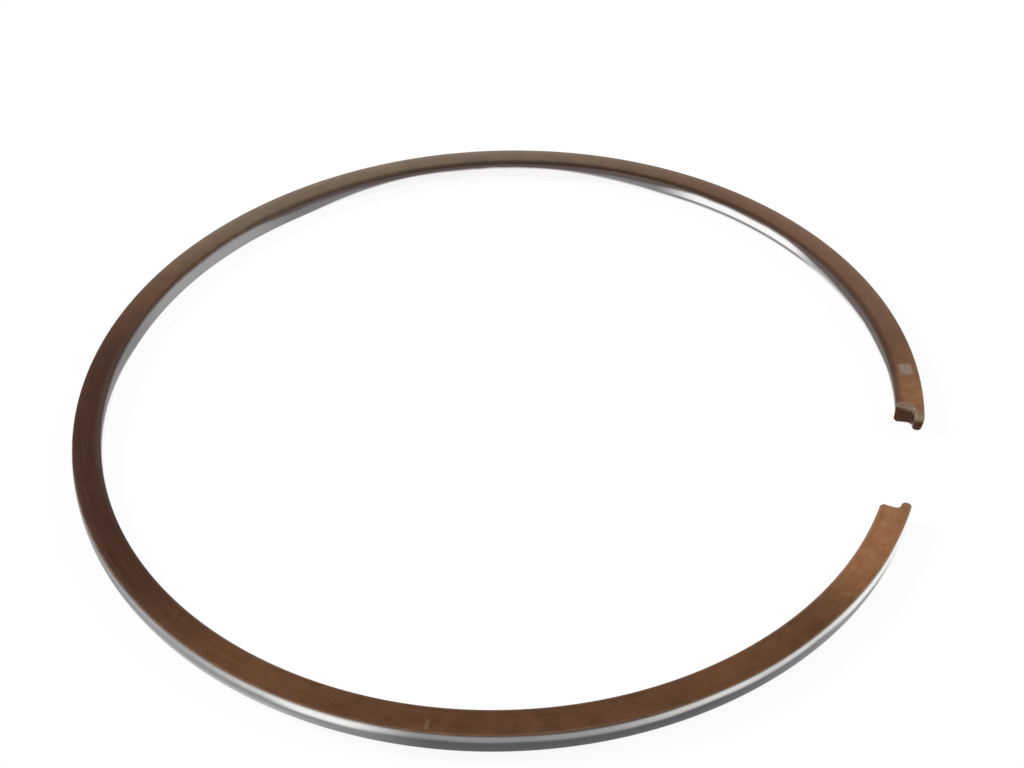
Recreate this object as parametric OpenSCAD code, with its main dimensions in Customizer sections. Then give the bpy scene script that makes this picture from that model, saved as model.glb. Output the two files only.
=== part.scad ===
// Split piston ring in its free form, lying on one side face, sizes in millimetres.
// The gap points along +X, and the origin is under the middle of the ring's outline.

/* [Ring] */
// Bore the ring is made for: its outer diameter when it is closed.
bore_d = 56; // [50:0.5:66]
// Radial wall, from the sliding face to the bore of the ring.
wall = 1.95; // [1.75:0.05:2.5]
// Axial width, from one side face to the other.
width = 1.5; // [1.2:0.1:2]
// Gap between the two tips when the ring is free.
free_gap = 8.7; // [6:0.1:11]

/* [Section] */
// Drop of the crowned sliding face, from its middle to each side face.
crown = 0.1; // [0.04:0.01:0.16]
// Chamfer on both edges of the ring's bore.
bore_edge = 0.2; // [0.1:0.05:0.3]

/* [Ends] */
// Thickness of the lip that is left outside the pin relief.
lip_t = 0.7; // [0.6:0.05:0.9]
// Length of the lip past the pin relief.
lip_len = 0.7; // [0.6:0.02:1.2]
// Radius of the round corner of the pin relief.
relief_r = 0.35; // [0.2:0.05:0.4]
// Radius of the rounded corners of each tip.
tip_r = 0.25; // [0.15:0.05:0.3]

/* [Hidden] */
$fn = 96;

closed_r = bore_d / 2;
crown_r = (width * width / 4 + crown * crown) / (2 * crown);
far = 2 * bore_d;

// Half of the ring is a chain of arcs from the back to a tip, tangent where they join. The joints
// lie on 3-4-5 directions and the radii on steps of 0.05, so that the arcs meet exactly.
joints = [[-1, 0], [-0.8, -0.6], [0, -1], [0.8, -0.6]];
angles = [0, atan2(0.6, 0.8), 90, 180 - atan2(0.6, 0.8), 180];
last = len(joints) - 1;

// Each arc's bend is the mean, over its length, of the bend that makes the closed ring press evenly
// all round: most open at the back, and as the bore at the tips.
opening = free_gap / (3 * PI * closed_r);
function ease(i) = 1 + (sin(angles[i + 1]) - sin(angles[i])) * 180 / PI / (angles[i + 1] - angles[i]);
function arc_r(i) = 0.05 * round(closed_r / (1 - opening * ease(i)) / 0.05);
function hub(i) = i == 0
    ? [arc_r(0) - closed_r, 0]
    : hub(i - 1) + (arc_r(i - 1) - arc_r(i)) * joints[i];

// The last arc stops where half of the free gap is left.
tip_angle = asin((-free_gap / 2 - hub(last)[1]) / arc_r(last));
tip_way = [cos(tip_angle), sin(tip_angle)];
tip = hub(last) + arc_r(last) * tip_way;
mid_x = 0.05 * round((tip[0] - closed_r) / 2 / 0.05);

// Section of the ring at an outer radius r: crowned outside, chamfered at the bore.
module section(r) {
    intersection() {
        translate([r - crown_r, width / 2])
            circle(crown_r);
        polygon([
            [r - wall + bore_edge, 0],
            [r + 1, 0],
            [r + 1, width],
            [r - wall + bore_edge, width],
            [r - wall, width - bore_edge],
            [r - wall, bore_edge]
        ]);
    }
}

// One arc of the chain, between two directions from its hub.
module arc(i, from, to) {
    translate([hub(i)[0], hub(i)[1], 0])
        intersection() {
            rotate_extrude()
                section(arc_r(i));
            translate([0, 0, -1])
                linear_extrude(width + 2)
                    polygon([[0, 0], far * from, far * to]);
        }
}

// Plan of the pin relief: x runs from the tip into the ring, y from the sliding face inwards.
module relief_plan() {
    translate([-1, lip_t + relief_r])
        square([1 + lip_len, wall]);
    translate([-1, lip_t])
        square([1 + lip_len - relief_r, wall]);
    translate([lip_len - relief_r, lip_t + relief_r])
        circle(relief_r);
}

// The rounded corners of a tip, as the plan of what is cut away. The outer one meets the sliding
// face at a slight angle.
module corner_plan() {
    difference() {
        translate([-1, -1])
            square([1 + tip_r, 2 + lip_t]);
        translate([tip_r, 0.9 * tip_r])
            circle(tip_r);
        translate([tip_r, lip_t - tip_r])
            circle(tip_r);
        translate([0, 0.9 * tip_r])
            square([tip_r, lip_t - 1.9 * tip_r]);
    }
}

module end_cut() {
    multmatrix([
        [tip_way[1], -tip_way[0], 0, tip[0]],
        [-tip_way[0], -tip_way[1], 0, tip[1]],
        [0, 0, 1, -1],
        [0, 0, 0, 1]
    ])
        linear_extrude(width + 2) {
            relief_plan();
            corner_plan();
        }
}

module half_ring() {
    difference() {
        union() {
            for (i = [1 : last - 1])
                arc(i, joints[i], joints[i + 1]);
            arc(last, joints[last], tip_way);
        }
        end_cut();
    }
}

module piston_ring() {
    color([0.38, 0.26, 0.18])
        translate([-mid_x, 0, 0]) {
            arc(0, [-0.8, 0.6], [-0.8, -0.6]);
            half_ring();
            mirror([0, 1, 0])
                half_ring();
        }
}

piston_ring();
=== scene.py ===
# %% [markdown]
# # A piston ring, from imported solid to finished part
#
# A piston ring is one split ring of sprung metal. It lies flat here, with its free gap at +X.
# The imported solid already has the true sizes. This lesson models the same ring again with
# fine, smooth surfaces and broken edges, and then gives each surface the finish it has on a
# real ring: brown side faces, a bright sliding face, a turned bore and dark cut ends.

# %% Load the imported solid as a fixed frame
import math

import bmesh
import bpy
from mathutils import Euler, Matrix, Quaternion, Vector


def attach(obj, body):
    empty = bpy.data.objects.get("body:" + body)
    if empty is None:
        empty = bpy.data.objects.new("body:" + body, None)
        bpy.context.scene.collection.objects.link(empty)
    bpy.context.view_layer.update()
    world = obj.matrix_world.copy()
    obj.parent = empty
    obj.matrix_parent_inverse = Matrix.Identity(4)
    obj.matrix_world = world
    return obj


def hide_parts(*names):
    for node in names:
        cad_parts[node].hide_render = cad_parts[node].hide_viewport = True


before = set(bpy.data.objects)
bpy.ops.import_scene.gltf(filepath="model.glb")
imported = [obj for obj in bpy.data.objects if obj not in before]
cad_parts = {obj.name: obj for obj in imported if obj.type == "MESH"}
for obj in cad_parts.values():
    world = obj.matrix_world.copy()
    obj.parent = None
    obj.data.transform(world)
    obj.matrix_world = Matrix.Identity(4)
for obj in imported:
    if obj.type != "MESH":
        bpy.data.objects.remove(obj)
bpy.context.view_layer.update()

# %% [markdown]
# ## The viewpoint
#
# A camera could be placed by eye, but a ring shows every degree of error in its ellipse.
# So its place, tilt and lens were solved from the ellipse that the ring draws, and they are
# written here as plain numbers. The place is in millimetres and the turns are in degrees.
# The lens is given for a sensor 36 mm wide.

# %% Camera
MM = 0.001
VIEW_TURN = 17.8
VIEW_TILT = 41.159
VIEW_ROLL = -1.047
VIEW_PLACE = (24.3175, -72.3173, 67.508)
FOCAL_PIXELS = 1448.33
IMAGE_WIDTH = 1024
SENSOR = 36.0
NEAREST = 1 * MM
FARTHEST = 20.0

eye = bpy.data.cameras.new("viewpoint")
eye.sensor_fit = "HORIZONTAL"
eye.sensor_width = SENSOR
eye.lens = FOCAL_PIXELS * SENSOR / IMAGE_WIDTH
eye.clip_start = NEAREST
eye.clip_end = FARTHEST
viewpoint = bpy.data.objects.new("viewpoint", eye)
bpy.context.scene.collection.objects.link(viewpoint)
viewpoint.location = Vector(VIEW_PLACE) * MM
viewpoint.rotation_mode = "QUATERNION"
level = Euler((math.radians(90 - VIEW_TILT), 0, math.radians(VIEW_TURN))).to_quaternion()
viewpoint.rotation_quaternion = level @ Quaternion((0, 0, 1), math.radians(VIEW_ROLL))
bpy.context.scene.camera = viewpoint
print("lens", round(eye.lens, 2), "mm")

# %% [markdown]
# ## The ring's own measures
#
# A ring is sprung open, so its free form isn't a circle. It bends least at the back and most
# at its tips, in the way that makes the closed ring press evenly all round. A curve through
# many points could follow that form, but four arcs that meet smoothly on each half can be spun
# exactly. They come from the bore and the free gap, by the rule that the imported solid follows.
# All of it is in millimetres, which keeps the small edges well above the sizes at which mesh
# tools merge points. The piece is scaled to metres at the end.

# %% Measures of the ring, in millimetres
CLOSED_RADIUS = 28.0
FREE_GAP = 8.7
WALL = 1.95
WIDTH = 1.5
CROWN = 0.1
BORE_EDGE = 0.2
LIP_THICK = 0.7
LIP_LENGTH = 0.7
RELIEF_ROUND = 0.35
TIP_ROUND = 0.25
print("section", WALL, "by", WIDTH, "mm, free gap", FREE_GAP, "mm")

# %% The arcs of one half, from the back to the tip
RADIUS_STEP = 0.05
BACK_HEADING = 180.0
CORNER = math.degrees(math.atan2(0.6, 0.8))
TURNS = [0.0, CORNER, 90.0, 180.0 - CORNER, 180.0]


def to_step(length):
    return RADIUS_STEP * round(length / RADIUS_STEP)


def free_radius(start, end):
    """Mean outer radius of the free ring between two turns from its back, in degrees."""
    a, b = math.radians(start), math.radians(end)
    ease = 1 + (math.sin(b) - math.sin(a)) / (b - a)
    opening = FREE_GAP / (3 * math.pi * CLOSED_RADIUS)
    return to_step(CLOSED_RADIUS / (1 - opening * ease))


chain = []
hub_x, hub_y, last_radius = 0.0, 0.0, CLOSED_RADIUS
for start, end in zip(TURNS, TURNS[1:]):
    radius = free_radius(start, end)
    heading = math.radians(BACK_HEADING + start)
    hub_x += (last_radius - radius) * math.cos(heading)
    hub_y += (last_radius - radius) * math.sin(heading)
    chain.append((hub_x, hub_y, radius, BACK_HEADING + start, BACK_HEADING + end))
    last_radius = radius
print("outer radii of the arcs", [round(arc[2], 2) for arc in chain], "mm")

# %% Stop the last arc at the tip, and centre the outline
tip_turn = math.asin((-FREE_GAP / 2 - hub_y) / radius)
tip_x = hub_x + radius * math.cos(tip_turn)
middle = to_step((tip_x - CLOSED_RADIUS) / 2)
TIP_HEADING = 360 + math.degrees(tip_turn)
# Each arc: its hub, its outer radius, and the headings it runs between.
ARCS = [((x - middle, y), r, a, min(b, TIP_HEADING)) for x, y, r, a, b in chain]
LAST = len(ARCS) - 1
HALF_LENGTH = sum(r * math.radians(b - a) for _, r, a, b in ARCS)
print("length of each half at the sliding face", round(HALF_LENGTH, 3), "mm")


# %% Where a point lies on the ring
def ring_place(x, y):
    """Distance from the back along the sliding face, and depth from it, for y below 0."""
    before = 0.0
    for (hx, hy), r, start, end in ARCS:
        heading = math.degrees(math.atan2(y - hy, x - hx)) % 360
        if heading < end or end == TIP_HEADING:
            break
        before += r * math.radians(end - start)
    return before + r * math.radians(heading - start), r - math.hypot(x - hx, y - hy)


def ring_point(arc, heading, depth):
    """The point at a heading from an arc's hub, at a depth from the sliding face."""
    (hx, hy), r, _, _ = ARCS[arc]
    a = math.radians(heading)
    return Vector((hx + (r - depth) * math.cos(a), hy + (r - depth) * math.sin(a)))


print("tip", [round(v, 3) for v in ring_point(LAST, TIP_HEADING, 0)])

# %% [markdown]
# ## Choosing what to work on
#
# By hand you would click on edges and faces. In a script they are chosen by where they are.
# This helper clears the selection and then takes each vertex, edge or face that passes a test.

# %% Selecting in code
CLOSE = 1e-3


def choose(piece, kind, test):
    """Selects only what passes the test, in edit mode, and returns how many there are."""
    bpy.ops.mesh.select_mode(type=kind)
    bpy.ops.mesh.select_all(action="DESELECT")
    work = bmesh.from_edit_mesh(piece.data)
    work.normal_update()
    group = {"VERT": work.verts, "EDGE": work.edges, "FACE": work.faces}[kind]
    chosen = [part for part in group if test(part)]
    for part in chosen:
        part.select_set(True)
    work.select_flush_mode()
    bmesh.update_edit_mesh(piece.data)
    return len(chosen)


def near(a, b, slack=CLOSE):
    return abs(a - b) < slack


bpy.ops.object.select_all(action="DESELECT")
print("nothing is selected")

# %% [markdown]
# ## The section of the ring
#
# Cut across, the ring is a small rectangle with two corners broken at the bore and a slightly
# crowned outer side. It could be typed in point by point, but then no size could be changed
# later. So a plane at the back of the ring is the blank. Its bore corners are bevelled as
# vertices, its outer edge is divided, and the new points are pushed out along the crown's arc.
# A cut across the plane marks where the lip at each end will stop.

# %% Section blank at the back of the ring
back_out = ARCS[0][0][0] - ARCS[0][1]
blank_wide = WALL - CROWN
blank_mid = (back_out + CROWN + blank_wide / 2, 0, WIDTH / 2)
bpy.ops.mesh.primitive_plane_add(size=1, location=blank_mid, rotation=(math.pi / 2, 0, 0))
ring = bpy.context.object
ring.name = "sprung_ring"
ring.data.name = "sprung_ring"
bpy.ops.object.transform_apply(location=True, rotation=True, scale=True)
bpy.ops.object.mode_set(mode="EDIT")
bpy.ops.mesh.select_all(action="SELECT")
bpy.ops.transform.resize(value=(blank_wide, 1, WIDTH), center_override=blank_mid)
found = choose(ring, "VERT", lambda v: near(v.co.x, back_out + WALL))
bpy.ops.mesh.bevel(offset_type="OFFSET", offset=BORE_EDGE, segments=1, affect="VERTICES")
print("bore corners broken:", found)

# %% Crown of the sliding face
CROWN_CUTS = 11

crown_radius = (WIDTH**2 / 4 + CROWN**2) / (2 * CROWN)
choose(ring, "EDGE", lambda e: all(near(v.co.x, back_out + CROWN) for v in e.verts))
bpy.ops.mesh.subdivide(number_cuts=CROWN_CUTS)
for cut in range(1, CROWN_CUTS + 1):
    height = WIDTH * cut / (CROWN_CUTS + 1)
    rise = math.sqrt(crown_radius**2 - (height - WIDTH / 2) ** 2) - (crown_radius - CROWN)
    choose(
        ring, "VERT",
        lambda v: near(v.co.x, back_out + CROWN) and near(v.co.z, height),
    )
    bpy.ops.transform.translate(value=(-rise, 0, 0))
bpy.ops.mesh.select_all(action="SELECT")
bpy.ops.mesh.bisect(plane_co=(back_out + LIP_THICK, 0, 0), plane_no=(1, 0, 0))
print("section points:", len(bmesh.from_edit_mesh(ring.data).verts))

# %% [markdown]
# ## Spinning the section round
#
# A real ring is turned or coiled, so its section is the same all along. A curve with a bevel
# could carry the section, but it would bend it a little at each point. The spin tool sweeps it
# exactly about each arc's hub in turn, and each spin starts where the last one ended. The last
# arc stops at the pin relief, and only the outer part of the section goes on to the tip. That
# leaves the lip, as a cutter would.

# %% Spin one half of the ring
STEP = 0.75


def sweep(arc, start, end, step=STEP):
    """Spins what is selected about an arc's hub, from one heading to another, in degrees."""
    (hx, hy), _, _, _ = ARCS[arc]
    steps = max(1, round((end - start) / step))
    bpy.ops.mesh.spin(
        steps=steps, angle=-math.radians(end - start), center=(hx, hy, 0), axis=(0, 0, 1)
    )
    return steps


relief_heading = TIP_HEADING - math.degrees(LIP_LENGTH / ARCS[LAST][1])
choose(ring, "FACE", lambda f: True)
for arc, (_, _, start, end) in enumerate(ARCS):
    print("arc", arc, "steps", sweep(arc, start, min(end, relief_heading)))

# %% Spin the lip on to the tip
SPUN_CLOSE = 5e-3
LIP_STEP = 2 * STEP

relief_along = HALF_LENGTH - LIP_LENGTH


def is_lip_start(f):
    places = [ring_place(*v.co.xy) for v in f.verts]
    return all(
        near(s, relief_along, SPUN_CLOSE) and w < LIP_THICK + SPUN_CLOSE for s, w in places
    )


found = choose(ring, "FACE", is_lip_start)
print("lip faces:", found, "steps", sweep(LAST, relief_heading, TIP_HEADING, LIP_STEP))
choose(ring, "FACE", lambda f: all(near(v.co.y, 0) for v in f.verts))
bpy.ops.mesh.delete(type="FACE")

# %% [markdown]
# ## Rounding the ends
#
# The pin relief has a round inside corner, and the tip of the lip has two rounded corners.
# A boolean cut with a round cutter could make them, but it leaves long thin faces. Each corner
# is one upright edge, or a chain of them, so a bevel of the right radius is enough.

# %% Round the upright corners of the end
ROUND_STEPS = 6

relief_corner = ring_point(LAST, relief_heading, LIP_THICK)
tip_corner = ring_point(LAST, TIP_HEADING, LIP_THICK)


def upright_at(place):
    return lambda e: all((v.co.xy - place).length < SPUN_CLOSE for v in e.verts)


def on_tip_outline(e):
    places = [ring_place(*v.co.xy) for v in e.verts]
    return all(near(s, HALF_LENGTH, SPUN_CLOSE) and w < CROWN + SPUN_CLOSE for s, w in places)


for title, test, radius in (
    ("relief corner", upright_at(relief_corner), RELIEF_ROUND),
    ("inner tip corner", upright_at(tip_corner), TIP_ROUND),
    ("outer tip corner", on_tip_outline, TIP_ROUND),
):
    found = choose(ring, "EDGE", test)
    bpy.ops.mesh.bevel(
        offset_type="OFFSET", offset=radius, segments=ROUND_STEPS, affect="EDGES",
        clamp_overlap=False,
    )
    print(title, "edges", found)

# %% Take out the leftover edges on the flat sides of the end
SEAM_REACH = LIP_LENGTH + 0.3
FLAT = 0.9


def is_flat_seam(e):
    """An edge across a flat side face, close to the tip."""
    s, _ = ring_place(*((e.verts[0].co + e.verts[1].co) / 2).xy)
    flat = len(e.link_faces) == 2 and all(abs(f.normal.z) > FLAT for f in e.link_faces)
    return flat and HALF_LENGTH - s < SEAM_REACH


found = choose(ring, "EDGE", is_flat_seam)
bpy.ops.mesh.dissolve_edges(use_verts=False)
print("flat seams removed", found)

# %% [markdown]
# ## Breaking the sharp edges
#
# No edge on a real ring is a knife edge: the ends are deburred, and the long edges are rolled
# or tumbled by a few hundredths of a millimetre. Edges could be chosen and bevelled one set at
# a time, but the sets would collide where they meet at the tips. One Bevel modifier that takes
# every sharp edge rounds them all together, so that each edge catches a thin line of light.

# %% Break the edges
EDGE_BREAK = 0.05
BREAK_STEPS = 3
SHARP_ANGLE = 35

bpy.ops.object.mode_set(mode="OBJECT")
broken = ring.modifiers.new("broken_edges", "BEVEL")
broken.limit_method = "ANGLE"
broken.angle_limit = math.radians(SHARP_ANGLE)
broken.width = EDGE_BREAK
broken.segments = BREAK_STEPS
broken.use_clamp_overlap = False
bpy.ops.object.modifier_apply(modifier=broken.name)
print("faces after breaking the edges", len(ring.data.polygons))

# %% [markdown]
# ## The other half
#
# The two halves of a ring mirror each other. A Mirror modifier makes the second one and joins
# them at the back. Then doubles are merged and normals turned outwards, because spinning and
# mirroring can leave faces inside out.

# %% Mirror and merge
JOIN_WITHIN = 1e-3
MERGE_WITHIN = 1e-4

mirror = ring.modifiers.new("other_half", "MIRROR")
mirror.use_axis = (False, True, False)
mirror.use_clip = True
mirror.merge_threshold = JOIN_WITHIN
bpy.ops.object.modifier_apply(modifier=mirror.name)
bpy.ops.object.mode_set(mode="EDIT")
bpy.ops.mesh.select_all(action="SELECT")
bpy.ops.mesh.remove_doubles(threshold=MERGE_WITHIN)
bpy.ops.mesh.normals_make_consistent(inside=False)
bpy.ops.object.mode_set(mode="OBJECT")

work = bmesh.new()
work.from_mesh(ring.data)
print("open edges", sum(len(e.link_faces) != 2 for e in work.edges),
      "volume", round(work.calc_volume(signed=True), 2), "mm3", "faces", len(work.faces))
work.free()

# %% [markdown]
# ## Coordinates that follow the ring
#
# Tool marks run along the ring, so the finishes need to know how far along and how deep each
# point lies. A UV map could hold that, but it would need a seam. Two named attributes on the
# mesh hold it instead, in millimetres: "along" is the distance from the back, below 0 on one
# half and above it on the other, and "depth" is the distance in from the sliding face.

# %% Store the along and depth attributes
along, depth = [], []
for v in ring.data.vertices:
    s, w = ring_place(v.co.x, -abs(v.co.y))
    along.append(s if v.co.y > 0 else -s)
    depth.append(w)
for title, values in (("along", along), ("depth", depth)):
    ring.data.attributes.new(title, "FLOAT", "POINT").data.foreach_set("value", values)
    print(title, round(min(values), 3), "to", round(max(values), 3))

# %% Scale to metres, shade smooth and tie the piece to the frame
SMOOTH_ANGLE = 24

bpy.ops.transform.resize(value=(MM, MM, MM), center_override=(0, 0, 0))
bpy.ops.object.transform_apply(location=True, rotation=True, scale=True)
bpy.ops.object.shade_smooth_by_angle(angle=math.radians(SMOOTH_ANGLE))
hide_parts("piston_ring")
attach(ring, "root")
print("finished piece", ring.name, [round(v / MM, 3) for v in ring.dimensions], "mm")

# %% [markdown]
# ## Building finishes from nodes
#
# Each finish is a small node tree. Wiring nodes by hand takes long lines of code, so one helper
# adds a node with its settings, and gives any input that is a socket a link instead of a number.
# The others are short names for what the finishes do most often: sums, fades and mixes.


# %% Helpers for node trees
def add(tree, kind, inputs=None, **settings):
    """Adds a node. An input's value may be a number, a colour, or another node's output."""
    made = tree.nodes.new(kind)
    for key, value in settings.items():
        setattr(made, key, value)
    for key, value in (inputs or {}).items():
        if isinstance(value, bpy.types.NodeSocket):
            tree.links.new(value, made.inputs[key])
        else:
            made.inputs[key].default_value = value
    return made


def maths(tree, operation, a, b=0.0, clamp=False):
    made = add(tree, "ShaderNodeMath", {0: a, 1: b}, operation=operation, use_clamp=clamp)
    return made.outputs[0]


def times(tree, a, b):
    return maths(tree, "MULTIPLY", a, b)


def minus(tree, a, b):
    return maths(tree, "SUBTRACT", a, b)


def weigh(tree, base, *shares):
    """A base value, plus each further value times its share."""
    total = base
    for value, share in shares:
        total = maths(tree, "ADD", total, times(tree, value, share))
    return total


print("helpers for sums are ready")


# %% Helpers for fades and mixes
def fade(tree, value, start, end, low=0.0, high=1.0):
    """Goes smoothly from low to high as the value goes from start to end."""
    return add(
        tree, "ShaderNodeMapRange",
        {"Value": value, "From Min": start, "From Max": end, "To Min": low, "To Max": high},
        interpolation_type="SMOOTHSTEP",
    ).outputs[0]


def blend(tree, share, first, second):
    """Mixes two colours."""
    made = add(tree, "ShaderNodeMix", {0: share, 6: first, 7: second}, data_type="RGBA")
    return made.outputs[2]


def new_group(title, inputs, outputs):
    """An empty node group with named number inputs and outputs."""
    tree = bpy.data.node_groups.new(title, "ShaderNodeTree")
    for name, value in inputs.items():
        socket = tree.interface.new_socket(name, in_out="INPUT", socket_type="NodeSocketFloat")
        socket.default_value = value
    for name in outputs:
        tree.interface.new_socket(name, in_out="OUTPUT", socket_type="NodeSocketFloat")
    return tree, tree.nodes.new("NodeGroupInput"), tree.nodes.new("NodeGroupOutput")


def place(tree, group, **inputs):
    """Puts a group into a tree, with its own values, and returns the node."""
    named = {key.replace("_", " "): value for key, value in inputs.items()}
    return add(tree, "ShaderNodeGroup", named, node_tree=group)


print("helpers for fades and mixes are ready")

# %% [markdown]
# ## Effects that several finishes share
#
# Four node groups do most of the work. One reads where a point is on the ring. One draws fine
# tool lines: noise that is stretched along the ring and packed tightly across it. One makes soft
# clouds of tone, as oil and heat leave on metal. The last one rubs an edge bright, unevenly.

# %% Group: place on the ring, in millimetres
SPOT_VALUES = ["Along", "Depth", "Height", "From Tip"]

ring_spot, _, spot_out = new_group("ring_spot", {}, SPOT_VALUES)
along_in = add(ring_spot, "ShaderNodeAttribute", attribute_name="along").outputs["Fac"]
depth_in = add(ring_spot, "ShaderNodeAttribute", attribute_name="depth").outputs["Fac"]
object_at = add(ring_spot, "ShaderNodeTexCoord").outputs["Object"]
up_in = add(ring_spot, "ShaderNodeSeparateXYZ", {0: object_at}).outputs[2]
height_in = maths(ring_spot, "DIVIDE", up_in, MM)
from_tip = minus(ring_spot, HALF_LENGTH, maths(ring_spot, "ABSOLUTE", along_in))
for key, value in zip(SPOT_VALUES, (along_in, depth_in, height_in, from_tip)):
    ring_spot.links.new(value, spot_out.inputs[key])
print("group", ring_spot.name)

# %% Group: fine tool lines along the ring
LINE_SPAN = (0.3, 0.7)

tool_lines, lines_in, lines_out = new_group(
    "tool_lines", {"Along": 0, "Across": 0, "Spacing": 0.05, "Length": 5.0, "Seed": 0}, ["Lines"]
)
stretched = add(tool_lines, "ShaderNodeCombineXYZ", {
    0: maths(tool_lines, "DIVIDE", lines_in.outputs["Along"], lines_in.outputs["Length"]),
    1: maths(tool_lines, "DIVIDE", lines_in.outputs["Across"], lines_in.outputs["Spacing"]),
    2: lines_in.outputs["Seed"],
}).outputs[0]
line_noise = add(tool_lines, "ShaderNodeTexNoise", {
    "Vector": stretched, "Scale": 1.0, "Detail": 2.0,
}).outputs[0]
tool_lines.links.new(fade(tool_lines, line_noise, *LINE_SPAN), lines_out.inputs["Lines"])
print("group", tool_lines.name)

# %% Group: soft clouds of tone
CLOUD_SPAN = (0.28, 0.72)

tone_clouds, clouds_in, clouds_out = new_group("tone_clouds", {"Size": 3.0, "Seed": 0}, ["Cloud"])
object_at = add(tone_clouds, "ShaderNodeTexCoord").outputs["Object"]
in_mm = add(tone_clouds, "ShaderNodeVectorMath", {0: object_at, 1: (1 / MM, 1 / MM, 1 / MM)},
            operation="MULTIPLY").outputs[0]
sized = add(tone_clouds, "ShaderNodeVectorMath", {
    0: in_mm,
    "Scale": maths(tone_clouds, "DIVIDE", 1.0, clouds_in.outputs["Size"]),
}, operation="SCALE").outputs[0]
cloud_noise = add(tone_clouds, "ShaderNodeTexNoise", {
    "Vector": sized, "W": clouds_in.outputs["Seed"], "Scale": 1.0, "Detail": 4.0, "Roughness": 0.6,
}, noise_dimensions="4D").outputs[0]
tone_clouds.links.new(fade(tone_clouds, cloud_noise, *CLOUD_SPAN), clouds_out.inputs["Cloud"])
print("group", tone_clouds.name)

# %% Group: uneven wear along an edge
LEAST_REACH = 0.35

edge_rub, rub_in, rub_out = new_group("edge_rub", {"From Edge": 0, "Reach": 0.1}, ["Rub"])
rub_cloud = place(edge_rub, tone_clouds, Size=1.3, Seed=3.0).outputs["Cloud"]
uneven = maths(edge_rub, "ADD", rub_cloud, LEAST_REACH)
reach = times(edge_rub, rub_in.outputs["Reach"], uneven)
gone = maths(edge_rub, "DIVIDE", rub_in.outputs["From Edge"], reach)
rubbed = maths(edge_rub, "SUBTRACT", 1.0, gone, clamp=True)
edge_rub.links.new(rubbed, rub_out.inputs["Rub"])
print("group", edge_rub.name)

# %% [markdown]
# ## Brown side faces
#
# The two flat sides are lapped and then treated, which leaves a thin brown oxide with an oily
# satin shine. It is neither a paint nor a clean metal, so the shader is set between the two,
# with a weak sheen. Three noises mix two browns: clouds of a millimetre or two, fine tool lines
# and small specks. One flat brown would look like plastic.


# %% Helpers for a finish
def new_finish(title, metal):
    """A new material in the next slot of the ring, with its tree and shader."""
    finish = bpy.data.materials.new(title)
    finish.use_nodes = True
    ring.data.materials.append(finish)
    tree = finish.node_tree
    shader = tree.nodes["Principled BSDF"]
    shader.inputs["Metallic"].default_value = metal
    return tree, shader


def roughen(tree, shader, height, depth_mm):
    """A Bump node for the shader, with its height in millimetres."""
    bump = add(tree, "ShaderNodeBump", {
        "Height": height, "Distance": depth_mm * MM, "Strength": 1.0,
    })
    tree.links.new(bump.outputs[0], shader.inputs["Normal"])


print("helpers for a finish are ready")

# %% Finish: brown side, its base
OXIDE_DARK = (0.076, 0.032, 0.013, 1)
OXIDE_BROWN = (0.130, 0.056, 0.023, 1)
SIDE_METAL = 0.25
SIDE_SHEEN = 0.22
SIDE_ROUGH = 0.3
SIDE_SCORE = 0.002
CHAMFER_DEPTH = WALL - BORE_EDGE
CHAMFER_SOFT = 0.04

tree, shader = new_finish("brown_side", SIDE_METAL)
shader.inputs["Specular IOR Level"].default_value = SIDE_SHEEN
spot = place(tree, ring_spot)
along_here, depth_here = spot.outputs["Along"], spot.outputs["Depth"]
lines = place(tree, tool_lines, Along=along_here, Across=depth_here,
              Spacing=0.06, Length=6.0, Seed=1.0).outputs["Lines"]
clouds = place(tree, tone_clouds, Size=1.6, Seed=1.0).outputs["Cloud"]
specks = place(tree, tone_clouds, Size=0.35, Seed=2.0).outputs["Cloud"]
tone = weigh(tree, 0.0, (clouds, 0.60), (lines, 0.12), (specks, 0.28))
brown = blend(tree, tone, OXIDE_DARK, OXIDE_BROWN)
in_chamfer = fade(tree, depth_here, CHAMFER_DEPTH - CHAMFER_SOFT, CHAMFER_DEPTH + CHAMFER_SOFT)
satin = weigh(tree, SIDE_ROUGH, (lines, 0.12), (in_chamfer, 0.35))
tree.links.new(satin, shader.inputs["Roughness"])
roughen(tree, shader, lines, SIDE_SCORE)
print("finish brown_side has", len(tree.nodes), "nodes")

# %% [markdown]
# ## Tones and painted light along the ring
#
# The oxide is ruddy in two places, and a clear copper tone at both ends. The face is also
# darker on one side of the back, which is painted shade, and greyer on the other, which is a
# painted sheen. These tones could be painted on by hand. Here each is a stretch of the ring
# with soft ends, so one helper makes it from four distances.
# The numbers of a stretch say where it starts, is full, falls and ends, and its share. The
# numbers of a fade say where it starts and ends, and its value there.


# %% Helpers for stretches of tone
def stretch(tree, value, start, full, fall, end, share=1.0):
    """Rises to its share between start and full, and goes back to 0 between fall and end."""
    rise = fade(tree, value, start, full, 0.0, share)
    return times(tree, rise, fade(tree, value, fall, end, 1.0, 0.0))


def stretches(tree, value, spans):
    """Several stretches, and the strongest of them where they overlap."""
    strongest = stretch(tree, value, *spans[0])
    for span in spans[1:]:
        strongest = maths(tree, "MAXIMUM", strongest, stretch(tree, value, *span))
    return strongest


print("helpers for stretches are ready")

# %% Finish: brown side, its stretches of tone
# The darkest brown here is painted shade, and the grey and pale browns are a painted sheen.
SHADE_UMBER = (0.030, 0.006, 0.002, 1)
SHEEN_GREY = (0.115, 0.079, 0.048, 1)
SHEEN_PALE = (0.172, 0.124, 0.080, 1)
OXIDE_WARM = (0.165, 0.083, 0.046, 1)
UMBER_SHADE_SPAN = (-42, -24, -8, 4, 0.75)
SHEEN_SPAN = (-2, 14, 34, 66, 0.85)
WARM_SPAN = (48, 66, 76, 84, 0.6)

# Painted shade: the face darker on one side of the back.
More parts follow.
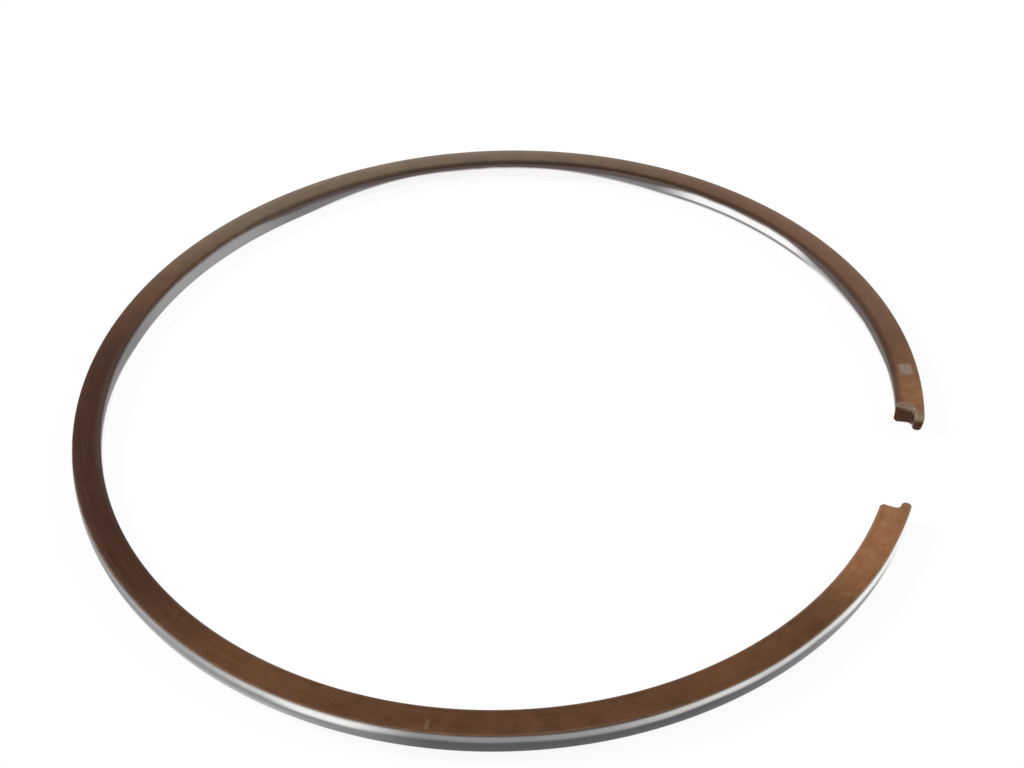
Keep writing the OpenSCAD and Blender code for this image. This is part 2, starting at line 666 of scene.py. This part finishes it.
brown = blend(tree, stretch(tree, along_here, *UMBER_SHADE_SPAN), brown, SHADE_UMBER)
# Painted sheen: grey over the back and much of one half, a painted reflection.
painted_grey = blend(tree, tone, SHEEN_GREY, SHEEN_PALE)
brown = blend(tree, stretch(tree, along_here, *SHEEN_SPAN), brown, painted_grey)
brown = blend(tree, stretch(tree, along_here, *WARM_SPAN), brown, OXIDE_WARM)
print("finish brown_side has", len(tree.nodes), "nodes")

# %% Finish: brown side, copper at the ends
OXIDE_COPPER = (0.290, 0.116, 0.042, 1)
OXIDE_TAN = (0.345, 0.165, 0.072, 1)
OXIDE_RED = (0.185, 0.078, 0.042, 1)
NEAR_END = (-75, -83)
FAR_END = (79, 87, 0.0, 0.7)
RED_TIP = (1.1, 0.4, 0.0, 0.6)
RUDDY_SPANS = [(-46, -41, -38, -33, 0.12), (-75, -71, -68, -65, 0.12)]

near_end = fade(tree, along_here, *NEAR_END)
far_end = fade(tree, along_here, *FAR_END)
ends = maths(tree, "MAXIMUM", near_end, far_end)
copper_share = times(tree, ends, weigh(tree, 0.6, (tone, 0.4)))
blotches = place(tree, tone_clouds, Size=0.8, Seed=4.0).outputs["Cloud"]
copper = blend(tree, blotches, OXIDE_COPPER, OXIDE_TAN)
brown = blend(tree, copper_share, brown, copper)
brown = blend(tree, fade(tree, spot.outputs["From Tip"], *RED_TIP), brown, OXIDE_RED)
brown = blend(tree, stretches(tree, along_here, RUDDY_SPANS), brown, OXIDE_COPPER)
print("finish brown_side has", len(tree.nodes), "nodes")

# %% [markdown]
# ## Edges and small marks of the side faces
#
# Towards the bore the face darkens, more on one half than the other: that is painted shade on
# the chamfer. On one stretch the face is ashen there. The outer edge is rubbed a little bright,
# and at one end the cut's edge is filed. Near that end the oxide is ground off in a small grey
# patch, and one short scratch crosses the face elsewhere. They are small, but an even ring
# looks drawn.

# %% Finish: brown side, its edges
OXIDE_SHADE = (0.028, 0.013, 0.006, 1)
OXIDE_ASH = (0.110, 0.078, 0.066, 1)
RUBBED_METAL = (0.36, 0.28, 0.18, 1)
PATCH_GREY = (0.235, 0.188, 0.145, 1)
BY_BORE = (CHAMFER_DEPTH - 0.35, CHAMFER_DEPTH + 0.1)
SHADED = (20, 46, 0.2, 0.75)
ASH_SPAN = (-24, -14, -4, 6, 0.4)
RELIEF_EDGE = (LIP_THICK - 0.15, LIP_THICK + 0.15, 0.0, LIP_LENGTH)
FILED_REACH = (0.55, 0.2, 0.0, 0.5)
FAR_HALF = (-1, 1)
RUB_REACH = 0.10
RUB_SHARE = 0.32

# Painted shade: the face darker towards the bore chamfer, more on one half.
by_bore = fade(tree, depth_here, *BY_BORE)
shaded = times(tree, by_bore, fade(tree, along_here, *SHADED))
brown = blend(tree, shaded, brown, OXIDE_SHADE)
ashen = times(tree, by_bore, stretch(tree, along_here, *ASH_SPAN))
brown = blend(tree, ashen, brown, OXIDE_ASH)
from_cut = minus(tree, spot.outputs["From Tip"], fade(tree, depth_here, *RELIEF_EDGE))
filed_rim = times(tree, fade(tree, from_cut, *FILED_REACH), fade(tree, along_here, *FAR_HALF))
brown = blend(tree, filed_rim, brown, PATCH_GREY)
from_edge = minus(tree, depth_here, CROWN)
rub = place(tree, edge_rub, From_Edge=from_edge, Reach=RUB_REACH).outputs["Rub"]
brown = blend(tree, times(tree, rub, RUB_SHARE), brown, RUBBED_METAL)
print("finish brown_side has", len(tree.nodes), "nodes")

# %% Finish: brown side, its patch and scratch
PATCH_ALONG = (82.65, 83.0, 83.75, 84.15)
PATCH_DEPTH = (0.35, 0.65, 1.2, 1.55)
SCRATCH_ALONG = (-51.3, -51.16, -51.06, -50.92, 0.18)
SCRATCH_DEPTH = (0.2, 0.4, 0.8, 1.05)

patch_deep = stretch(tree, depth_here, *PATCH_DEPTH)
patch = times(tree, stretch(tree, along_here, *PATCH_ALONG), patch_deep)
patch = times(tree, patch, weigh(tree, 0.65, (specks, 0.35)))
brown = blend(tree, patch, brown, PATCH_GREY)
scratch_deep = stretch(tree, depth_here, *SCRATCH_DEPTH)
scratch = times(tree, stretch(tree, along_here, *SCRATCH_ALONG), scratch_deep)
brown = blend(tree, scratch, brown, RUBBED_METAL)
tree.links.new(brown, shader.inputs["Base Color"])
print("finish brown_side has", len(tree.nodes), "nodes")

# %% [markdown]
# ## The plated sliding face
#
# The outer face carries a hard grey plating. Its two tones are painted light: a bright band high
# on the crown is a painted reflection of the lit paper, and the dull rest is painted shade, the
# mirrored shadow at the ring's foot. The dull part is darker on two stretches, also painted shade,
# and its foot is lit on one stretch, a painted reflection. The band's edge wavers a little. It is
# weak over the back and has two painted highlights, and the tips are a painted reflection of
# white from top to foot. One even plating would lose all of that, so the band is a mask that
# mixes a shaded and a lit copy of the metal.

# %% Finish: plated sliding face, its shaded grey
# The dull greys are painted shade and the bright ones a painted reflection: shaded and lit copies
# of one plating.
PLATE_SHADED = (0.232, 0.229, 0.244, 1)
PLATE_SHADED_PALE = (0.307, 0.304, 0.319, 1)
PLATE_DEEP_SHADE = (0.09, 0.087, 0.097, 1)
PLATE_LIT = (0.62, 0.61, 0.58, 1)
PLATE_LIT_PALE = (0.78, 0.77, 0.74, 1)
PLATE_METAL = 1.0
PLATE_SCORE = 0.0015
SHADE_SPANS = [(-82, -66, -52, -46, 0.92), (-33, -25, -14, -6, 0.9)]
LIT_FOOT_SPAN = (-47, -41, -32, -26, 0.5)
LIT_FOOT_HEIGHT = (0.7, 0.25)

tree, shader = new_finish("plated_face", PLATE_METAL)
spot = place(tree, ring_spot)
along_here, height_here = spot.outputs["Along"], spot.outputs["Height"]
lines = place(tree, tool_lines, Along=along_here, Across=height_here,
              Spacing=0.03, Length=9.0, Seed=5.0).outputs["Lines"]
clouds = place(tree, tone_clouds, Size=4.0, Seed=5.0).outputs["Cloud"]
lit_plate = blend(tree, clouds, PLATE_LIT, PLATE_LIT_PALE)
shaded_plate = blend(tree, lines, PLATE_SHADED, PLATE_SHADED_PALE)
# Painted shade: the shaded plating darker still on two stretches.
shaded_plate = blend(tree, stretches(tree, along_here, SHADE_SPANS), shaded_plate, PLATE_DEEP_SHADE)
# Painted reflection: the foot lit on one stretch.
lit_foot = times(tree, stretch(tree, along_here, *LIT_FOOT_SPAN), fade(tree, height_here, *LIT_FOOT_HEIGHT))
shaded_plate = blend(tree, lit_foot, shaded_plate, lit_plate)
roughen(tree, shader, lines, PLATE_SCORE)
print("finish plated_face has", len(tree.nodes), "nodes")

# %% Finish: plated sliding face, its painted lit band
LIT_BAND_HEIGHT = (0.72, 1.02, 1.2, 1.42)
LIT_BAND_WAVER = 0.2
WEAK_SPANS = [(-70, -58, -51, -46, 0.68), (-46, -34, 30, 60, 0.75)]
GLINT_WHITE = (0.96, 0.96, 0.94, 1)
GLINT_SPANS = [(-49, -46, -44, -41, 0.85), (-85, -81, -79, -75, 0.8)]
GLINT_HEIGHT = (0.75, 0.98, 1.15, 1.4)
TIP_REFLECTION_WHITE = (0.97, 0.97, 0.95, 1)
TIP_REFLECTION_REACH = (7.5, 2.5, 0.0, 0.95)
OXIDE_CREPT = (1.3, 1.47, 0.0, 0.6)
SHADED_ROUGH = 0.34
LIT_BAND_ROUGH = 0.18

# Painted reflection: lit paper mirrored in a band high on the crown, over the shaded copy.
waver = place(tree, tone_clouds, Size=18.0, Seed=6.0).outputs["Cloud"]
above = minus(tree, height_here, times(tree, waver, LIT_BAND_WAVER))
strength = minus(tree, 1.0, stretches(tree, along_here, WEAK_SPANS))
lit_band = times(tree, stretch(tree, above, *LIT_BAND_HEIGHT), strength)
metal = blend(tree, lit_band, shaded_plate, lit_plate)
# Painted highlights: two glints on the band.
glint_high = stretch(tree, height_here, *GLINT_HEIGHT)
glint = times(tree, stretches(tree, along_here, GLINT_SPANS), glint_high)
metal = blend(tree, glint, metal, GLINT_WHITE)
# Painted reflection: the tips white from top to foot.
tip_reflection = fade(tree, spot.outputs["From Tip"], *TIP_REFLECTION_REACH)
metal = blend(tree, tip_reflection, metal, TIP_REFLECTION_WHITE)
metal = blend(tree, fade(tree, height_here, *OXIDE_CREPT), metal, OXIDE_BROWN)
tree.links.new(metal, shader.inputs["Base Color"])
lit_parts = maths(tree, "MAXIMUM", lit_band, tip_reflection)
gloss = fade(tree, lit_parts, 0.0, 1.0, SHADED_ROUGH, LIT_BAND_ROUGH)
tree.links.new(weigh(tree, gloss, (lines, 0.10)), shader.inputs["Roughness"])
print("finish plated_face has", len(tree.nodes), "nodes")

# %% [markdown]
# ## The turned bore
#
# The inside is left as turned: bare metal with fine tool lines that run along the ring. It is
# dull on one half. At the back it is grey from above, down to a line that slants: painted shade,
# the mirrored shadow of the ring on the paper inside. So the mask compares the height with a foot
# that changes along the ring. A smaller grey wedge of painted shade follows, and a thin line near
# the foot where the tool was lifted. Beyond it comes some tarnish, and over all of it a dark
# stain, where oxide has crept over the upper edge.

# %% Finish: turned bore, its steel
STEEL = (0.96, 0.95, 0.94, 1)
STEEL_LIGHT = (0.99, 0.98, 0.97, 1)
STEEL_DULL = (0.38, 0.37, 0.362, 1)
STEEL_METAL = 1.0
STEEL_ROUGH = 0.34
STEEL_SCORE = 0.003
DULL_HALF = (-24, -34)

tree, shader = new_finish("turned_bore", STEEL_METAL)
spot = place(tree, ring_spot)
along_here, height_here = spot.outputs["Along"], spot.outputs["Height"]
lines = place(tree, tool_lines, Along=along_here, Across=height_here,
              Spacing=0.05, Length=14.0, Seed=9.0).outputs["Lines"]
clouds = place(tree, tone_clouds, Size=3.0, Seed=9.0).outputs["Cloud"]
steel = blend(tree, clouds, STEEL, STEEL_LIGHT)
dulled = times(tree, weigh(tree, 0.45, (lines, 0.25)), fade(tree, along_here, *DULL_HALF))
steel = blend(tree, dulled, steel, STEEL_DULL)
tree.links.new(weigh(tree, STEEL_ROUGH, (lines, 0.14)), shader.inputs["Roughness"])
roughen(tree, shader, lines, STEEL_SCORE)
print("finish turned_bore has", len(tree.nodes), "nodes")


# %% Finish: turned bore, its painted shade
def over(tree, height, line, soft):
    """Goes from 0 to 1 as the height passes a line, with a soft edge."""
    return fade(tree, minus(tree, height, line), -soft, soft)


GREY_SOFT = 0.12
# The back greys and the wedge grey are painted shade.
BACK_SHADE = (0.13, 0.12, 0.125, 1)
BACK_SHADE_PALE = (0.27, 0.255, 0.26, 1)
PALE_SPAN = (-4, 4, 12, 19)
BACK_SHADE_SPAN = (-22, -14, 30, 36, 0.9)
FALLING_FOOT = (-20.5, 6.5, 1.15, -0.15)
RISING_FOOT = (12, 32, -0.15, 1.0)
WEDGE_SHADE = (0.20, 0.187, 0.192, 1)
WEDGE_SPAN = (38, 41, 51, 56, 0.95)
WEDGE_FOOT = (38, 54, 1.0, 0.3)

# Painted shade: grey over the back, above a slanting foot.
painted_grey = blend(tree, stretch(tree, along_here, *PALE_SPAN), BACK_SHADE, BACK_SHADE_PALE)
falling = fade(tree, along_here, *FALLING_FOOT)
rising = fade(tree, along_here, *RISING_FOOT)
over_back = over(tree, height_here, maths(tree, "MAXIMUM", falling, rising), GREY_SOFT)
back_shade = times(tree, over_back, stretch(tree, along_here, *BACK_SHADE_SPAN))
steel = blend(tree, back_shade, steel, painted_grey)
# Painted shade: a smaller grey wedge.
over_wedge = over(tree, height_here, fade(tree, along_here, *WEDGE_FOOT), GREY_SOFT)
shade_wedge = times(tree, over_wedge, stretch(tree, along_here, *WEDGE_SPAN))
steel = blend(tree, shade_wedge, steel, WEDGE_SHADE)
print("finish turned_bore has", len(tree.nodes), "nodes")

# %% Finish: turned bore, its tool line, tarnish and stain
LIFT_GREY = (0.15, 0.14, 0.145, 1)
LIFT_SPAN = (50, 54, 66, 70, 0.88)
LIFT_HEIGHT = (0.2, 0.38, 0.45, 0.63)
TARNISH = (0.26, 0.243, 0.248, 1)
TARNISH_SPAN = (65, 69, 72, 77, 0.85)
TARNISH_HEIGHT = (0.2, 0.7)
STAIN = (0.12, 0.09, 0.085, 1)
STAIN_FOOT = (12, 18, 1.22, 0.93)
STAIN_LOWER = (67, 75, 78, 87, 0.35)
STAIN_HIGHER = (51, 56, 64, 69, 0.24)
STAIN_EDGE = (-0.2, 0.1)

lift_high = stretch(tree, height_here, *LIFT_HEIGHT)
lifted = times(tree, stretch(tree, along_here, *LIFT_SPAN), lift_high)
steel = blend(tree, lifted, steel, LIFT_GREY)
tarnish_high = fade(tree, height_here, *TARNISH_HEIGHT)
tarnished = times(tree, stretch(tree, along_here, *TARNISH_SPAN), tarnish_high)
steel = blend(tree, tarnished, steel, TARNISH)
lower = stretch(tree, along_here, *STAIN_LOWER)
higher = stretch(tree, along_here, *STAIN_HIGHER)
stain_foot = minus(tree, fade(tree, along_here, *STAIN_FOOT), lower)
stain_foot = maths(tree, "ADD", stain_foot, higher)
stain_foot = weigh(tree, stain_foot, (clouds, 0.08))
stained = fade(tree, minus(tree, height_here, stain_foot), *STAIN_EDGE)
steel = blend(tree, stained, steel, STAIN)
tree.links.new(steel, shader.inputs["Base Color"])
print("finish turned_bore has", len(tree.nodes), "nodes")

# %% [markdown]
# ## The cut ends
#
# The tips and the pin reliefs are sawn and filed after the ring is treated. Their upper part is a
# light tan, a painted reflection of the lit paper, and the rest is nearly black, painted shade.
# The light part reaches far down on the lip, less far in the shaded relief, and least of all at
# the bore, so the height of the change depends on the depth. A second material could do it,
# with a hard border.

# %% Finish: cut end
# The near-black browns are painted shade, and the tan is a painted reflection.
END_SHADED = (0.058, 0.023, 0.010, 1)
END_BROWN = (0.088, 0.038, 0.019, 1)
END_LIT_TAN = (0.255, 0.192, 0.118, 1)
END_METAL = 0.6
END_SHEEN = 0.1
END_ROUGH = 0.26
END_PITS = 0.004
LIP_LIT_DOWN_TO = (LIP_THICK - 0.1, LIP_THICK + 0.2, 0.78, 1.06)
RELIEF_LIT_DOWN_TO = (LIP_THICK + 0.2, WALL, 0.0, 0.24)
LIT_EDGE_SOFT = 0.2

tree, shader = new_finish("cut_end", END_METAL)
shader.inputs["Specular IOR Level"].default_value = END_SHEEN
spot = place(tree, ring_spot)
depth_here, height_here = spot.outputs["Depth"], spot.outputs["Height"]
clouds = place(tree, tone_clouds, Size=0.4, Seed=12.0).outputs["Cloud"]
# Painted reflection above a line and painted shade below it; the line is lowest on the lip.
shaded_end = blend(tree, clouds, END_SHADED, END_BROWN)
on_lip = fade(tree, depth_here, *LIP_LIT_DOWN_TO)
in_relief = fade(tree, depth_here, *RELIEF_LIT_DOWN_TO)
lit_down_to = weigh(tree, maths(tree, "ADD", on_lip, in_relief), (clouds, 0.12))
lit_upper = over(tree, height_here, lit_down_to, LIT_EDGE_SOFT)
tree.links.new(blend(tree, lit_upper, shaded_end, END_LIT_TAN), shader.inputs["Base Color"])
tree.links.new(weigh(tree, END_ROUGH, (clouds, 0.12)), shader.inputs["Roughness"])
roughen(tree, shader, clouds, END_PITS)
print("finish cut_end has", len(tree.nodes), "nodes")

# %% [markdown]
# ## Which face gets which finish
#
# Each face of the mesh keeps the number of its finish. By hand you would select faces and press
# Assign. Here a face is sorted by its normal and by its place on the ring. The upper chamfer
# goes with the brown side. The lower one goes with the bore, so that its foot has no dark line.

# %% Give each face its finish
SIDE_FACE, SLIDING_FACE, BORE_FACE, END_FACE = range(4)
SIDE_TILT = 0.6
FACES_DOWN = -0.9
CROWN_SLACK = 0.02


def face_kind(f):
    x, y, z = f.center / MM
    s, w = ring_place(x, -abs(y))
    in_lower_chamfer = z < BORE_EDGE and w > CHAMFER_DEPTH and f.normal.z > FACES_DOWN
    if abs(f.normal.z) > SIDE_TILT and not in_lower_chamfer:
        return SIDE_FACE
    if w < CROWN + CROWN_SLACK and HALF_LENGTH - s > TIP_ROUND:
        return SLIDING_FACE
    if HALF_LENGTH - s < LIP_LENGTH + 2 * EDGE_BREAK:
        return END_FACE
    return BORE_FACE if w > WALL / 2 else SLIDING_FACE


counts = [0, 0, 0, 0]
for f in ring.data.polygons:
    f.material_index = face_kind(f)
    counts[f.material_index] += 1
print("faces by finish", counts)

# %% [markdown]
# ## A pale floor
#
# The ring lies on plain white paper. Lamps strong enough to make paper quite white would burn
# out the bright metal. So the paper is mixed with pure white where the camera looks at it, and
# what is left of the paper keeps the ring's soft shadow. Away from the ring it turns fully
# white, so that it ends without a horizon. The metal mirrors it too: as white inside the ring
# and by the gap, and a little greyer elsewhere, so that the sliding face doesn't wash out.

# %% Floor, and how white it is
FLOOR_SIZE = 3.0
PAPER = (0.9, 0.9, 0.9, 1)
SEEN_WHITE = 0.92
MIRRORED_WHITE = 0.75
WHITER = (0.10, 0.35, SEEN_WHITE, 1.0)
INSIDE_RING = (27.5 * MM, 29.0 * MM, 1.0, MIRRORED_WHITE)
BY_GAP = (25.5 * MM, 28.5 * MM, MIRRORED_WHITE, 1.0)

bpy.ops.mesh.primitive_plane_add(size=FLOOR_SIZE, location=(0, 0, 0))
floor = bpy.context.object
floor.name = "pale_floor"
paper = bpy.data.materials.new("pale_paper")
paper.use_nodes = True
tree = paper.node_tree
floor_at = add(tree, "ShaderNodeTexCoord").outputs["Object"]
from_ring = add(tree, "ShaderNodeVectorMath", {0: floor_at}, operation="LENGTH").outputs["Value"]
to_right = add(tree, "ShaderNodeSeparateXYZ", {0: floor_at}).outputs[0]
ray = add(tree, "ShaderNodeLightPath")
seen = times(tree, ray.outputs["Is Camera Ray"], fade(tree, from_ring, *WHITER))
in_ring = fade(tree, from_ring, *INSIDE_RING)
by_gap = fade(tree, to_right, *BY_GAP)
mirrored_white = maths(tree, "MAXIMUM", in_ring, by_gap)
mirrored = times(tree, ray.outputs["Is Glossy Ray"], mirrored_white)
print("floor", [round(v, 2) for v in floor.dimensions], "m")

# %% Floor, paper mixed with white
shader = tree.nodes["Principled BSDF"]
shader.inputs["Base Color"].default_value = PAPER
shader.inputs["Roughness"].default_value = 1.0
shader.inputs["Specular IOR Level"].default_value = 0.0
lift = maths(tree, "ADD", seen, mirrored)
white = add(tree, "ShaderNodeEmission", {"Color": (1, 1, 1, 1), "Strength": 1.0})
mixed = add(tree, "ShaderNodeMixShader", {0: lift, 1: shader.outputs[0], 2: white.outputs[0]})
tree.links.new(mixed.outputs[0], tree.nodes["Material Output"].inputs["Surface"])
floor.data.materials.append(paper)
print("paper has", len(tree.nodes), "nodes")

# %% [markdown]
# ## Soft lamps
#
# One large dome would light the ring evenly, and would make its metal look flat. Four square
# lamps give it form instead: a strong one on the left, a weaker one on the right, a low one in
# front for the sliding face, and a weak one overhead. Each is placed by its direction from the
# viewpoint, so that its numbers say where the light comes from in the picture.

# %% Lamps
LAMP_DISTANCE = 0.5
# Each lamp: its direction round and up in degrees, its size in metres and its power in watts.
LAMPS = {
    "left_lamp": (155, 36, 0.15, 2.2),
    "right_lamp": (15, 36, 0.15, 1.1),
    "front_lamp": (225, 20, 0.20, 0.6),
    "top_lamp": (90, 86, 0.20, 0.4),
}

for title, (azimuth, height, size, power) in LAMPS.items():
    light = bpy.data.lights.new(title, "AREA")
    light.size = size
    light.energy = power
    holder = bpy.data.objects.new(title, light)
    bpy.context.scene.collection.objects.link(holder)
    a, e = math.radians(azimuth + VIEW_TURN), math.radians(height)
    way = Vector((math.cos(a) * math.cos(e), math.sin(a) * math.cos(e), math.sin(e)))
    holder.location = way * LAMP_DISTANCE
    holder.rotation_mode = "QUATERNION"
    holder.rotation_quaternion = way.to_track_quat("Z", "Y")
    print(title, power, "W at", [round(v, 3) for v in holder.location])

# %% [markdown]
# ## The room
#
# Metal looks like what it mirrors. A white room all round would wash out the brown sides, so
# the room is dim, with one lighter screen behind the ring. The screen's reflection gives the
# far side of the ring its soft grey shine. The camera sees the room as white.

# %% World
DIM = 0.10
SCREEN = 1.3
SCREEN_TURN = 75
SCREEN_SIDE = (0.62, 0.78)
SCREEN_TOP = (0.68, 0.5)

world = bpy.data.worlds.new("room")
bpy.context.scene.world = world
world.use_nodes = True
tree = world.node_tree
way = add(tree, "ShaderNodeTexCoord").outputs["Generated"]
back_turn = math.radians(SCREEN_TURN + VIEW_TURN)
back_way = (math.cos(back_turn), math.sin(back_turn), 0)
to_back = add(tree, "ShaderNodeVectorMath", {0: way, 1: back_way},
              operation="DOT_PRODUCT").outputs["Value"]
up = add(tree, "ShaderNodeSeparateXYZ", {0: way}).outputs[2]
screen = times(tree, fade(tree, to_back, *SCREEN_SIDE), fade(tree, up, *SCREEN_TOP))
glow = weigh(tree, DIM, (screen, SCREEN))
ray = add(tree, "ShaderNodeLightPath")
glow = maths(tree, "MAXIMUM", glow, ray.outputs["Is Camera Ray"])
background = tree.nodes["Background"]
background.inputs["Color"].default_value = (1, 1, 1, 1)
tree.links.new(glow, background.inputs["Strength"])
bpy.context.scene.view_settings.view_transform = "Standard"
print("room with", len(tree.nodes), "nodes, view transform Standard")
